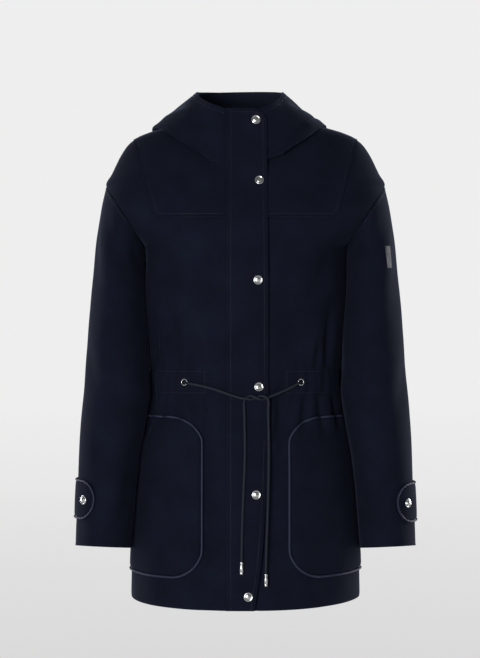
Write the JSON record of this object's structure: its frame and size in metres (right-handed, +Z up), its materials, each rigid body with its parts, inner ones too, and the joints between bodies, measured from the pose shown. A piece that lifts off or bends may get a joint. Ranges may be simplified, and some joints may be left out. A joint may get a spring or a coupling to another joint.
{
  "type": "hooded parka",
  "caption": "Hip-length hooded wool parka, filled out as if worn, with a covered snap placket, piped patch pockets, cuff tabs, set-in sleeves and a waist drawcord.",
  "frame": {"origin": "middle of the shoulders, halfway between the two shoulder seams, inside the open neck, where the wearer holds the coat up", "axes": "+Z up, the coat's height; -Y is the front, where the placket is; the wearer's right side is at -X and the left at +X; +Y is the back, where the hood lies"},
  "size_m": [0.5571, 0.3062, 0.8456],
  "materials": {
    "wool": "matt navy double-faced wool felt",
    "piping": "smooth navy woven tape",
    "cord": "round braided navy cord",
    "nickel": "satin nickel",
    "label": "woven tape, blank"
  },
  "bodies": {
    "root": {"front_right": "wool", "front_left": "wool", "yoke_right": "wool", "yoke_left": "wool", "sleeve_right": "wool", "sleeve_left": "wool", "hood_right": "wool", "hood_left": "wool", "pocket_right": "wool", "pocket_left": "wool", "cuff_tab_right": "wool", "cuff_tab_left": "wool", "back": "wool", "placket": "wool", "pocket_piping_right": "piping", "pocket_piping_left": "piping", "cuff_tab_piping_right": "piping", "cuff_tab_piping_left": "piping", "drawcord_right": "cord", "drawcord_left": "cord", "cuff_snap_right": "nickel", "cuff_snap_left": "nickel", "eyelet_right": "nickel", "eyelet_left": "nickel", "cord_end_right": "nickel", "cord_end_left": "nickel", "snap_1": "nickel", "snap_2": "nickel", "snap_3": "nickel", "snap_4": "nickel", "snap_5": "nickel", "snap_6": "nickel", "sleeve_label": "label"}
  },
  "joints": []
}
